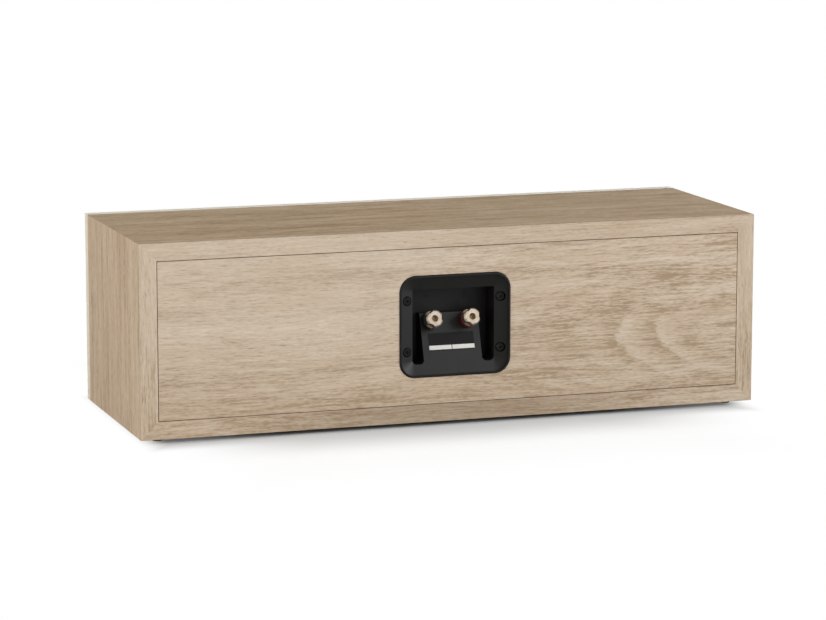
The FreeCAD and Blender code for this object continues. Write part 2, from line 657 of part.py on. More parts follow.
def tweeter():
    """Soft-dome tweeter behind a shallow flared faceplate."""
    throat = DOME_R + THROAT_GAP
    edge_f = FLANGE_T + DOME_T
    flare = ((HORN_R + throat) / 2, (FLANGE_T - THROAT_T) / 2 - HORN_FLARE)
    face = turned([(TWEETER_R, 0), (TWEETER_R, FLANGE_T), (throat, FLANGE_T), (throat, FLANGE_T - THROAT_T),
                   (flare, (HORN_R, 0))])
    lug_low = Z_MID + TWEETER_MAGNET_R + LUG_CLEAR
    lug = box(-TERMINAL_W / 2, TERMINAL_W / 2, Y_FLANGE + FLANGE_T, Y_FLANGE + FLANGE_T + TERMINAL_OUT,
              lug_low, Z_MID + TWEETER_CUT_R - LUG_CLEAR)
    face = screw_holes(face.fuse(lug), 0.0, TWEETER_SCREW_AT)
    tube = DOME_R - TUBE_T
    dome = turned([(DOME_EDGE, FLANGE_T), (DOME_EDGE, edge_f), (tube, edge_f),
                   ((tube / 2, edge_f - crown(tube / 2, tube, DOME_RISE)), (0, edge_f - DOME_RISE)),
                   (0, edge_f - DOME_RISE - DOME_T),
                   ((DOME_R / 2, FLANGE_T - crown(DOME_R / 2, DOME_R, DOME_RISE)), (DOME_R, FLANGE_T))])
    coil_end = edge_f + TUBE_L
    coil = turned([(tube, edge_f), (DOME_R, edge_f), (DOME_R, coil_end), (tube, coil_end)])
    gap = DOME_R + POLE_GAP
    magnet_f = edge_f + TWEETER_PLATE_T
    yoke_f = magnet_f + TWEETER_MAGNET_T
    end = yoke_f + TWEETER_YOKE_T
    plate = turned([(gap, edge_f), (TWEETER_PLATE_R, edge_f), (TWEETER_PLATE_R, magnet_f), (gap, magnet_f)])
    bore = gap + MAGNET_BORE
    magnet = turned([(bore, magnet_f), (TWEETER_MAGNET_R, magnet_f), (TWEETER_MAGNET_R, yoke_f),
                     (bore, yoke_f)])
    pole = tube - POLE_GAP
    yoke = turned([(0, edge_f), (pole, edge_f), (pole, yoke_f), (TWEETER_PLATE_R, yoke_f),
                   (TWEETER_PLATE_R, end), (0, end)])
    return {"faceplate": face, "dome": dome, "voice_coil": coil, "front_plate": plate, "magnet": magnet,
            "yoke": yoke}


def peg_spots():
    """Places of the grille pegs near the corners of the baffle."""
    return [(sx * (HALF_W - PEG_INSET), Z_MID + sz * (CABINET_H / 2 - PEG_INSET))
            for sx in (-1, 1) for sz in (-1, 1)]


def front_baffle():
    """Front board with the driver openings, screw pilots and peg sockets."""
    gap_x = HALF_W - LIP - BAFFLE_GAP
    board = box(-gap_x, gap_x, Y_BAFFLE, Y_BAFFLE + BAFFLE_T,
                Z_LOW + LIP + BAFFLE_GAP, Z_HIGH - LIP - BAFFLE_GAP)
    cuts = [bar_y(0, Z_MID, Y_BAFFLE, Y_BAFFLE + BAFFLE_T, TWEETER_CUT_R)]
    for sx in (-1, 1):
        cuts.append(bar_y(sx * WOOFER_X, Z_MID, Y_BAFFLE, Y_BAFFLE + BAFFLE_T, WOOFER_CUT_R))
    for x, z in peg_spots():
        cuts.append(bar_y(x, z, Y_BAFFLE, SOCKET_END + FIT, SOCKET_OUT + FIT))
    for cut in cuts:
        board = board.cut(cut)
    for x, at in ((0.0, TWEETER_SCREW_AT), (-WOOFER_X, WOOFER_SCREW_AT), (WOOFER_X, WOOFER_SCREW_AT)):
        board = screw_holes(board, x, at)
    return board


def grille_parts():
    """Grille frame with pegs, the cloth over it and the sockets that take the pegs."""
    front = Y_FRONT - GRILLE_T
    cloth = box(-HALF_W, HALF_W, front, Y_FRONT, Z_LOW, Z_HIGH)
    rim = [e for e in cloth.Edges if e.BoundBox.YMin < front + 1e-6]
    cloth = cloth.makeFillet(CLOTH_ROUND, rim)
    in_x = HALF_W - CLOTH_T
    z0 = Z_LOW + CLOTH_T
    z1 = Z_HIGH - CLOTH_T
    core = box(-in_x, in_x, front + CLOTH_T, Y_FRONT, z0, z1)
    cloth = cloth.cut(core)
    half_z = CABINET_H / 2 - GRILLE_BAR
    split = (WOOFER_X - FLANGE_R + TWEETER_R) / 2
    outer = HALF_W - GRILLE_BAR
    frame = core
    g = GRILLE_GUSSET
    windows = [[(-split + GRILLE_BAR / 2, -half_z), (split - GRILLE_BAR / 2, -half_z),
                (split - GRILLE_BAR / 2, half_z), (-split + GRILLE_BAR / 2, half_z)]]
    for s in (-1, 1):
        a = split + GRILLE_BAR / 2
        windows.append([(s * a, -half_z), (s * (outer - g), -half_z), (s * outer, g - half_z),
                        (s * outer, half_z - g), (s * (outer - g), half_z), (s * a, half_z)])
    for outline in windows:
        points = [V(x, front, Z_MID + z) for x, z in outline]
        frame = frame.cut(Part.Face(Part.makePolygon(points + points[:1])).extrude(V(0, GRILLE_T, 0)))
    sockets = []
    for x, z in peg_spots():
        frame = frame.fuse(bar_y(x, z, Y_FRONT, Y_BAFFLE + PEG_IN, PEG_R))
        cup = bar_y(x, z, Y_BAFFLE, SOCKET_END, SOCKET_OUT)
        cup = cup.fuse(bar_y(x, z, Y_BAFFLE - SOCKET_LIP_T, Y_BAFFLE, SOCKET_OUT + SOCKET_LIP))
        sockets.append(cup.cut(bar_y(x, z, Y_BAFFLE - SOCKET_LIP_T, Y_BAFFLE + PEG_IN + FIT, PEG_R + FIT)))
    return frame, cloth, group(sockets)


def crossover():
    """Board on standoffs behind the rear panel, with its parts on the side towards the drivers."""
    back = Y_REAR_IN - XO_STAND
    top = back - XO_T
    board = box(XO_X - XO_W / 2, XO_X + XO_W / 2, top, back, Z_MID - XO_H / 2, Z_MID + XO_H / 2)
    stands = []
    for sx in (-1, 1):
        for sz in (-1, 1):
            x = XO_X + sx * (XO_W / 2 - XO_POST_INSET)
            z = Z_MID + sz * (XO_H / 2 - XO_POST_INSET)
            stands.append(bar_y(x, z, back, Y_REAR_IN, XO_POST_R))
    coils = []
    for dx, dz, r in COIL_SPOTS:
        x = XO_X + dx * XO_W
        z = Z_MID + dz * XO_H
        coil = bar_y(x, z, top - COIL_H, top, r)
        coils.append(coil.cut(bar_y(x, z, top - COIL_H, top, COIL_BORE_R)))
    caps = []
    for dx, dz in CAP_SPOTS:
        caps.append(bar_y(XO_X + dx * XO_W, Z_MID + dz * XO_H, top - CAP_H, top, CAP_R))
    rx = XO_X + RESISTOR_SPOT[0] * XO_W
    rz = Z_MID + RESISTOR_SPOT[1] * XO_H
    resistor = box(rx - RESISTOR_L / 2, rx + RESISTOR_L / 2, top - RESISTOR_S, top,
                   rz - RESISTOR_S / 2, rz + RESISTOR_S / 2)
    return board, group(stands), group(coils), group(caps), resistor, top


def input_leads(top):
    """Two leads from the solder tags to the board."""
    made = []
    start_s = -RAMP_WALL - TAG_T
    down = TAG_L - TAG_W / 2
    for sx, extra, inset in ((-1, 0.0, LEAD_INSET), (1, LEAD_PITCH, LEAD_INSET + LEAD_PITCH)):
        y = Y_REAR - ramp_depth(POST_Z) + start_s * COS_RAMP + down * SIN_RAMP
        z = Z_MID + POST_Z + start_s * SIN_RAMP - down * COS_RAMP
        run = (y - (top - 2 * LEAD_BEND - extra)) / COS_RAMP
        turn = (sx * POST_X, y - run * COS_RAMP, z - run * SIN_RAMP)
        end_x = XO_X + XO_W / 2 - inset
        made.append(lead([(sx * POST_X, y, z), turn, (end_x, turn[1], turn[2]), (end_x, top, turn[2])]))
    return group(made)


def driver_leads(top):
    """Pairs of leads from the board to both woofers and the tweeter."""
    made = []
    half = LEAD_PITCH / 2
    tab_y = Y_FLANGE + PLATE_F
    tab_z = Z_MID + PLATE_R + TERMINAL_OUT - 2 * LEAD_R
    for s in (-1, 1):
        made.append(bar_y(-WOOFER_X + s * half, tab_z, tab_y, top, LEAD_R))
    lane = (top + tab_y) / 2
    for s in (-1, 1):
        x0 = XO_X + XO_W * WOOFER_LEAD_SPOT + s * half
        x1 = WOOFER_X + s * half
        y = lane + s * half
        made.append(lead([(x0, top, tab_z), (x0, y, tab_z), (x1, y, tab_z), (x1, tab_y, tab_z)]))
    lug_y = Y_FLANGE + FLANGE_T + TERMINAL_OUT
    lug_z = Z_MID + (TWEETER_MAGNET_R + TWEETER_CUT_R) / 2
    for s in (-1, 1):
        x0 = XO_X + XO_W * TWEETER_LEAD_SPOT + s * half
        y = lane - 2 * LEAD_PITCH + s * half
        x1 = s * half
        made.append(lead([(x0, top, lug_z), (x0, y, lug_z), (x1, y, lug_z), (x1, lug_y, lug_z)]))
    return group(made)


def wadding():
    """Soft pads standing against the side boards."""
    pads = []
    inner = HALF_W - BOARD_T
    y1 = Y_REAR_IN - WADDING_GAP
    z0 = Z_LOW + BOARD_T
    z1 = Z_HIGH - BOARD_T - WADDING_GAP
    for s in (-1, 1):
        x0, x1 = sorted((s * inner, s * (inner - WADDING_T)))
        pads.append(box(x0, x1, y1 - WADDING_D, y1, z0, z1))
    return group(pads)


def build():
    """Every node by name."""
    nodes = dict(cabinet_boards())
    nodes["rear_panel"] = rear_panel()
    nodes["front_baffle"] = front_baffle()
    nodes["feet"] = feet()
    nodes["terminal_cup"] = terminal_cup()
    nodes["cup_seal"] = cup_seal()
    nodes["cup_screws"] = cup_screws()
    nodes["rating_label"], nodes["label_fields"] = label_parts()
    nuts = []
    tags = []
    for side, x in (("positive", -POST_X), ("negative", POST_X)):
        post, ring, washer, knob, nut, tag = post_parts(x)
        nodes[side + "_post"] = post
        nodes[side + "_ring"] = ring
        nodes[side + "_washer"] = washer
        nodes[side + "_knob"] = knob
        nuts.append(nut)
        tags.append(tag)
    nodes["post_nuts"] = group(nuts)
    nodes["solder_tags"] = group(tags)
    screws = []
    for side, x in (("a", WOOFER_X), ("b", -WOOFER_X)):
        for name, shape in woofer(x).items():
            nodes["woofer_" + side + "_" + name] = shape
        screws += driver_screws(x, WOOFER_SCREW_AT)
    nodes["woofer_screws"] = group(screws)
    for name, shape in tweeter().items():
        nodes["tweeter_" + name] = shape
    nodes["tweeter_screws"] = group(driver_screws(0.0, TWEETER_SCREW_AT))
    nodes["grille_frame"], nodes["grille_cloth"], nodes["grille_sockets"] = grille_parts()
    board, stands, coils, caps, resistor, top = crossover()
    nodes["crossover_board"] = board
    nodes["crossover_standoffs"] = stands
    nodes["crossover_inductors"] = coils
    nodes["crossover_capacitors"] = caps
    nodes["crossover_resistor"] = resistor
    nodes["input_leads"] = input_leads(top)
    nodes["driver_leads"] = driver_leads(top)
    nodes["damping_wadding"] = wadding()
    return nodes


os.makedirs("parts", exist_ok=True)
for node, solid in build().items():
    solid.exportStep("parts/" + node + ".step")
    print(node, len(solid.Solids), round(solid.Volume, 1), solid.isValid())
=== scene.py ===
# %% [markdown]
# # A centre loudspeaker in pale oak, seen from behind
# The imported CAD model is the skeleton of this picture: its boards, terminal cup and drivers already have
# their true sizes, in metres, in one frame. What is left for Blender is how things look. We load the
# model, set up a studio, write one finish for each material, and then add the few soft or very fine
# pieces.

# %% Load the frame
import math

import bmesh
import bpy
import numpy as np
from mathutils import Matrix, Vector


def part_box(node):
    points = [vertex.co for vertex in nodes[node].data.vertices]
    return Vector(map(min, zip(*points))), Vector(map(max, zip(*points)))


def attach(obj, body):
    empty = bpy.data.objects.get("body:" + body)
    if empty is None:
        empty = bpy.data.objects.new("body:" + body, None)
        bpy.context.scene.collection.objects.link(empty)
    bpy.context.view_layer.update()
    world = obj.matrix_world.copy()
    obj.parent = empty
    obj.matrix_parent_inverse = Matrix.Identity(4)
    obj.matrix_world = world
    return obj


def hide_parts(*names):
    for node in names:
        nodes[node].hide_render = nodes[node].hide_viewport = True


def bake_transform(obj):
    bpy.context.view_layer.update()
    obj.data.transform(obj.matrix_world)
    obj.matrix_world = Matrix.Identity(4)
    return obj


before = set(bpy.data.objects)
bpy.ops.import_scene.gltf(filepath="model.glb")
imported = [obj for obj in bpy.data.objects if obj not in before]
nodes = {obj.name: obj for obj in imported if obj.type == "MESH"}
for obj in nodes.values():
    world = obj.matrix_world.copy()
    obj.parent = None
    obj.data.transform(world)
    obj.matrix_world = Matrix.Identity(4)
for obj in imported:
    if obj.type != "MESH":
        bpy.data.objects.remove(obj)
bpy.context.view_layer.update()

# %% [markdown]
# ## The camera
# The photograph is taken from a little above, off the left end of the cabinet, with a long lens. A camera
# is a place, a direction and a focal length. The focal length in pixels turns into millimetres by the
# ratio of the sensor's width to the picture's width, so we can write down what was measured and let
# Python convert.

# %% Camera
PICTURE_W = 826
SENSOR_MM = 36.0
FOCAL_PIXELS = 3407.2
CAMERA_PLACE = Vector((0.7535, 2.23225, 0.4693))
CAMERA_YAW = 3.46538
CAMERA_PITCH = -0.16924

camera_data = bpy.data.cameras.new("camera")
camera_data.sensor_width = SENSOR_MM
camera_data.lens = FOCAL_PIXELS / PICTURE_W * SENSOR_MM
camera = bpy.data.objects.new("camera", camera_data)
level = math.cos(CAMERA_PITCH)
looking = Vector((math.sin(CAMERA_YAW) * level, math.cos(CAMERA_YAW) * level, math.sin(CAMERA_PITCH)))
camera.location = CAMERA_PLACE
camera.rotation_euler = looking.to_track_quat("-Z", "Y").to_euler()
bpy.context.collection.objects.link(camera)
bpy.context.scene.camera = camera
print("lens in mm:", round(camera_data.lens, 1))

# %% [markdown]
# ## Sums with sockets
# A finish is a small calculation: take the place on the surface, make a pattern, turn it into a colour.
# In the node editor every plus sign is a node of its own. Here one class wraps a socket and lets Python's
# own plus, minus and times add those nodes, so a finish reads like the formula that it is.

# %% A socket that can be used in sums
class Signal:
    """One output socket of a node tree; sums with it add Math nodes to the tree."""

    def __init__(self, tree, socket):
        self.tree = tree
        self.socket = socket

    def node(self, kind, settings=None, inputs=None, out=0):
        """Add any node: its type, then its settings, then the values or links of its sockets."""
        made = self.tree.nodes.new(kind)
        for key, value in (settings or {}).items():
            setattr(made, key, value)
        for key, value in (inputs or {}).items():
            plug(self.tree, value, made.inputs[key])
        return Signal(self.tree, made.outputs[out])

    def sum(self, operation, first, second=0.0):
        """One Math node on two values."""
        return self.node("ShaderNodeMath", {"operation": operation}, {0: first, 1: second})

    def __add__(self, other):
        return self.sum("ADD", self, other)

    __radd__ = __add__

    def __sub__(self, other):
        return self.sum("SUBTRACT", self, other)

    def __rsub__(self, other):
        return self.sum("SUBTRACT", other, self)

    def __mul__(self, other):
        return self.sum("MULTIPLY", self, other)

    __rmul__ = __mul__

    def __truediv__(self, other):
        return self.sum("DIVIDE", self, other)

    def __pow__(self, other):
        return self.sum("POWER", self, other)

    def split(self):
        """The three parts of a vector."""
        parts = self.node("ShaderNodeSeparateXYZ", None, {0: self}).socket.node
        return [Signal(self.tree, socket) for socket in parts.outputs]

    def noise(self, *place, detail=2.0, roughness=0.5):
        """Smooth noise from 0 to 1 at a place whose three parts are given."""
        at = self.node("ShaderNodeCombineXYZ", None, dict(enumerate(place)))
        return self.node("ShaderNodeTexNoise", None,
                         {"Vector": at, "Scale": 1.0, "Detail": detail, "Roughness": roughness})

    def step(self, low, high):
        """0 below low, 1 above high, smooth between."""
        return self.node("ShaderNodeMapRange", {"interpolation_type": "SMOOTHSTEP"},
                         {"Value": self, "From Min": low, "From Max": high})

    def blend(self, first, second):
        """A colour that goes from first to second as this value goes from 0 to 1."""
        return self.node("ShaderNodeMix", {"data_type": "RGBA"}, {0: self, 6: first, 7: second}, out=2)


def plug(tree, value, socket):
    """Link a signal to a socket, or set the socket to a plain value."""
    if isinstance(value, Signal):
        tree.links.new(value.socket, socket)
    else:
        socket.default_value = value


# %% [markdown]
# ## A sheet of paper for each finish
# Every material starts alike: a Principled shader and the Object coordinates of the surface. The CAD
# nodes sit at the origin with their place in the mesh, so those coordinates are metres on the real
# loudspeaker. Colours are written as the red, green and blue numbers that an image editor shows, and
# converted to linear light.

# %% Colours
def tone(red, green, blue):
    """An image editor's colour, 0 to 255, as the linear colour that shaders use."""
    linear = [((c / 255 + 0.055) / 1.055) ** 2.4 if c > 10 else c / 255 / 12.92 for c in (red, green, blue)]
    return (*linear, 1.0)


print("oak, as written and in linear light:", [round(c, 3) for c in tone(190, 170, 148)[:3]])

# %% Start a finish
COAT_ROUGHNESS = 0.1
dressed = set()


class Finish:
    """A material with its shader and the place on the surface."""

    def __init__(self, name, roughness=0.5, metallic=0.0, shine=0.5, coat=0.0):
        self.material = bpy.data.materials.new(name)
        self.material.use_nodes = True
        self.tree = self.material.node_tree
        self.shader = self.tree.nodes["Principled BSDF"]
        constants = {"Roughness": roughness, "Metallic": metallic, "Specular IOR Level": shine,
                     "Coat Weight": coat, "Coat Roughness": COAT_ROUGHNESS}
        for key, value in constants.items():
            self.shader.inputs[key].default_value = value
        coordinates = self.tree.nodes.new("ShaderNodeTexCoord")
        self.place = Signal(self.tree, coordinates.outputs["Object"])
        self.flat = Signal(self.tree, coordinates.outputs["UV"])

    def wear(self, **inputs):
        """Link signals to the shader: colour, roughness and so on, by the names of its sockets."""
        for key, value in inputs.items():
            plug(self.tree, value, self.shader.inputs[key.replace("_", " ")])
        return self

    def bump(self, height, depth, strength=1.0):
        """Raise the surface by height times depth metres, for the light alone."""
        sockets = {"Height": height, "Distance": depth, "Strength": strength}
        return self.wear(Normal=height.node("ShaderNodeBump", None, sockets))

    def put_on(self, *names):
        """Wear this finish on CAD nodes."""
        for name in names:
            slots = nodes[name].data.materials
            slots.clear()
            slots.append(self.material)
            dressed.add(name)


# %% [markdown]
# ## The studio
# A white table in a white room: one large softbox far off to the right of the camera, a warmer one off the
# near end of the cabinet, a weak one for the front, and a dim warm room for the rest. The side light of
# the first lamp models the dished frame of the terminal cup: the strip that faces it is bright, the one
# that faces away is dark. The background has to be white without more light on the object, so a Light
# Path node tells camera rays from the rays that carry light. Mirror and glass rays see that white too, on
# the side of the camera.

# %% Room and lamps
ROOM_LIGHT = (0.22, 0.176, 0.116, 1.0)
WHITE = (1.0, 1.0, 1.0, 1.0)
BLACK = (0.0, 0.0, 0.0, 1.0)
AIM = Vector((0.0, 0.0, 0.07))
LAMP_SIDE = (-0.3, 0.3)
SOFTBOXES = {
    "key": {"toward": (-0.73, 0.57, 0.375), "away": 5.0, "size": (2.7, 2.7), "power": 272.0,
            "colour": (0.995, 1.02, 1.03)},
    "end": {"toward": (0.95, 0.25, 0.20), "away": 1.5, "size": (1.0, 1.0), "power": 10.2,
            "colour": (1.13, 1.0, 0.81)},
    "front": {"toward": (0.0, -1.0, 0.0), "away": 2.0, "size": (1.6, 0.12), "power": 22.0,
              "colour": (1.0, 0.98, 0.94), "mirrored": False},
}

scene = bpy.context.scene
scene.view_settings.view_transform = "Standard"


def ray_kinds(tree):
    """Two signals: 1 for camera rays, and 1 for mirror or glass rays."""
    rays = tree.nodes.new("ShaderNodeLightPath")
    camera_ray, mirror, glass = [Signal(tree, rays.outputs[name]) for name in (
        "Is Camera Ray", "Is Glossy Ray", "Is Transmission Ray")]
    return camera_ray, mirror.sum("MAXIMUM", mirror, glass)


def softbox(name, toward, away, size, power, colour, mirrored=True):
    """A rectangular lamp at a distance from the loudspeaker, facing it; glossy faces may mirror it."""
    lamp_data = bpy.data.lights.new(name, "AREA")
    lamp_data.shape = "RECTANGLE"
    lamp_data.size, lamp_data.size_y = size
    lamp_data.energy = power
    lamp_data.color = colour
    lamp = bpy.data.objects.new(name, lamp_data)
    toward = Vector(toward).normalized()
    lamp.location = AIM + toward * away
    lamp.rotation_euler = toward.to_track_quat("Z", "Y").to_euler()
    lamp.visible_glossy = mirrored
    bpy.context.collection.objects.link(lamp)


room = bpy.data.worlds.new("room")
room.use_nodes = True
scene.world = room
tree = room.node_tree
direction = Signal(tree, tree.nodes.new("ShaderNodeTexCoord").outputs["Generated"])
lamp_side = direction.split()[1].step(*LAMP_SIDE)
camera_ray, mirror = ray_kinds(tree)
seen = camera_ray.sum("MAXIMUM", camera_ray, mirror * lamp_side)
plug(tree, seen.blend(ROOM_LIGHT, WHITE), tree.nodes["Background"].inputs["Color"])
for name, setting in SOFTBOXES.items():
    softbox(name, **setting)
print("lamps:", ", ".join(SOFTBOXES))

# %% [markdown]
# ## The floor
# Close to the loudspeaker the floor is a real surface, so that it takes the soft contact shadow. A glow
# that only the camera sees lifts it, and its strength by place adds painted shadow and painted light: none
# under the cabinet, which paints the dark line there, a little beside its long edges, more towards its two
# ends, and up to white further from its long edges.
# Further out the floor fades to plain white.

# %% Floor
FLOOR_HALF = 6.0
FLOOR_COLOUR = (0.46, 0.49, 0.53, 1.0)
FLOOR_LIFT = 0.60
CONTACT_LIFT = 0.26
CONTACT_REACH = (0.070, 0.157)
UNDER_EDGE = (0.072, 0.083)
FADE_SIDE = (0.200, 0.223)
FADE_BACK = (0.10, 0.26)
CORNER_SIDE = (0.10, 0.21)
CORNER_BACK = (0.078, 0.105)
ENDS_PAINTED_LIGHT = (0.11, 0.21)
ENDS_GLOW = 0.7

floor_mesh = bpy.data.meshes.new("floor")
corners = np.array([[-1, -1, 0], [1, -1, 0], [1, 1, 0], [-1, 1, 0]]) * FLOOR_HALF
floor_mesh.from_pydata(corners.tolist(), [], [[0, 1, 2, 3]])
floor = bpy.data.objects.new("floor", floor_mesh)
bpy.context.collection.objects.link(floor)

table_white = Finish("table_white", roughness=1.0, shine=0.0)
east, north = [part.sum("ABSOLUTE", part) for part in table_white.place.split()[:2]]
away = east.sum("MAXIMUM", east.step(*FADE_SIDE), north.step(*FADE_BACK))
away = away.sum("MAXIMUM", away, east.step(*CORNER_SIDE) * north.step(*CORNER_BACK))
camera_ray, mirror = ray_kinds(table_white.tree)
seen = camera_ray.sum("MAXIMUM", camera_ray, mirror)
# painted shadow: the glow is weaker under and beside the long edges, and painted light raises it towards
# the two ends
painted_under_shadow_lift = north.sum("MAXIMUM", north.step(*UNDER_EDGE), east.step(*ENDS_PAINTED_LIGHT) * ENDS_GLOW)
clear = (north.step(*CONTACT_REACH) * (1.0 - CONTACT_LIFT) + CONTACT_LIFT) * painted_under_shadow_lift
table_white.wear(Base_Color=FLOOR_COLOUR, Emission_Color=(camera_ray * clear).blend(BLACK, WHITE),
                 Emission_Strength=FLOOR_LIFT)
white = table_white.tree.nodes.new("ShaderNodeEmission")
mixed = table_white.tree.nodes.new("ShaderNodeMixShader")
plug(table_white.tree, away * seen, mixed.inputs[0])
table_white.tree.links.new(table_white.shader.outputs[0], mixed.inputs[1])
table_white.tree.links.new(white.outputs[0], mixed.inputs[2])
table_white.tree.links.new(mixed.outputs[0], table_white.tree.nodes["Material Output"].inputs["Surface"])
floor_mesh.materials.append(table_white.material)
print("floor reaches", FLOOR_HALF, "m each way")

# %% [markdown]
# ## Oak
# The cabinet wears a thin oak skin. Oak shows three sizes of pattern: broad soft bands, the growth rings
# that run as long lines or, where the cut meets the heart of the tree, as nested arches, and thousands of
# short dark pores along the grain. A photograph of wood would give one board; noise stretched along the
# grain gives all of them, and it runs round an edge without a seam because it is worked out in space.

# %% Grain
# Features per metre, first along the grain and then across it.
SWAY = (7, 22)
BAND = (5, 90)
STREAK = (48, 760)
PORES = (150, 1400)
FIBRE = (240, 1500)
SWAY_REACH = 0.010


def stretched(finish, along, across, depth, scale, **setting):
    """Noise drawn out along the grain: few features per metre along it and many across it."""
    return finish.place.noise(along * scale[0], across * scale[1], depth * scale[1], **setting)


def grain_lines(finish, along, across, depth):
    """Broad bands, fine streaks, pores and fibres: stretched noises on lines that sway a little."""
    sway = stretched(finish, along, across, depth, SWAY, detail=3) - 0.5
    line = across + sway * SWAY_REACH
    layer = depth + sway * SWAY_REACH
    band = stretched(finish, along, line, layer, BAND, detail=5, roughness=0.6)
    streak = stretched(finish, along, line, layer, STREAK, detail=3)
    pore = stretched(finish, along, line, layer, PORES, detail=1)
    fibre = stretched(finish, along, line, layer, FIBRE, detail=2)
    return band, streak, pore, fibre


print("oak streaks about", round(1000 / STREAK[0]), "mm long and", round(1000 / STREAK[1], 1), "mm wide")

# %% Growth rings
RING_TIP = (-0.118, 0.0545)
RING_WIDTH = 0.004
RING_DEPTH = 0.080
RING_TAPER = 0.125
RING_SWAY = 0.030
RING_WOBBLE = 1.2
RING_FRAY = 0.6
RING_DARKENS = (0.0, 0.9)
RING_ENDS = (0.94, 1.0)
RING_MEAN = 0.45
TONGUE_OUTSIDE = (20.0, 20.7)
TONGUE_INSIDE = (17.9, 18.5)
ARM_ABOVE = (0.004, 0.017)
ARM_BELOW = (0.010, 0.028)


def growth_rings(finish, x, z, sway, streak):
    """A flat board cuts a trunk's cone: rings count the root of depth and height squared, and a taper in x.
    Each ring starts pale and darkens. The second value says how much of them shows: one tongue."""
    height = z - RING_TIP[1] + sway * RING_SWAY
    radius = (height * height + RING_DEPTH ** 2) ** 0.5 + (x - RING_TIP[0]) * RING_TAPER
    count = radius / RING_WIDTH + sway * RING_WOBBLE + (streak - 0.5) * RING_FRAY
    age = finish.place.sum("FRACT", count)
    tongue = (1.0 - count.step(*TONGUE_OUTSIDE)) * count.step(*TONGUE_INSIDE)
    arms = (1.0 - height.step(*ARM_ABOVE)) * (1.0 - (0.0 - height).step(*ARM_BELOW))
    return age.step(*RING_DARKENS) * (1.0 - age.step(*RING_ENDS)) - RING_MEAN, tongue * arms


print("the arches point to x =", RING_TIP[0], "and z =", RING_TIP[1])

# %% Oak finish
OAK_PALE = tone(208, 194, 177)
OAK_MID = tone(193, 174, 153)
OAK_DEEP = tone(158, 136, 111)
OAK_ROSY = tone(188, 163, 140)
PORE = tone(126, 105, 82)
PAINTED_SHEEN = tone(250, 246, 238)
DEEP_TO_MID = (0.05, 0.55)
MID_TO_PALE = (0.45, 0.95)
ROSY = (11, 70)
ROSY_SHOWS = (0.45, 0.75)
PORE_SHOWS = (0.58, 0.76)
PANEL_SWAY = (8, 30, 20)
# Where the panel's lively end and edge with their painted shade and painted sheen, the rear edges and the
# bottom board's painted shade lie, in metres.
LIVELY_SHADED_END = (-0.13, 0.09)
LIVELY_SHADED_EDGE = (0.010, 0.085)
REAR_EDGE = (0.0768, 0.0773)
PAINTED_SHADE_LOW_BOARD = (0.014, 0.017)
PAINTED_SHADE_LOW_MIDDLE = (0.03, 0.20)
# How much of each pattern, tone, painted shade and painted sheen goes in.
SHARE = {"band": 1.1, "fibre": 0.8, "rosy": 0.4, "pores": 0.38,
         "painted_shade": 0.14, "painted_sheen": 0.12, "low": 0.5}
LIVELIER = {"end": 0.45, "edge": 0.2, "all": 0.95}
SHADE_PAINTED_DARKER = {"end": 0.03, "edge": 0.08}
RINGS_SHOW = {"tongue": 0.36, "end": 0.12}
RAIL_CALM = 0.45
TONGUE_CALM = 0.3
END_PAINTED_SHADE = 0.6
OAK_ROUGH = 0.46
OAK_ROUGHER = 0.14
OAK_RELIEF = 0.00010


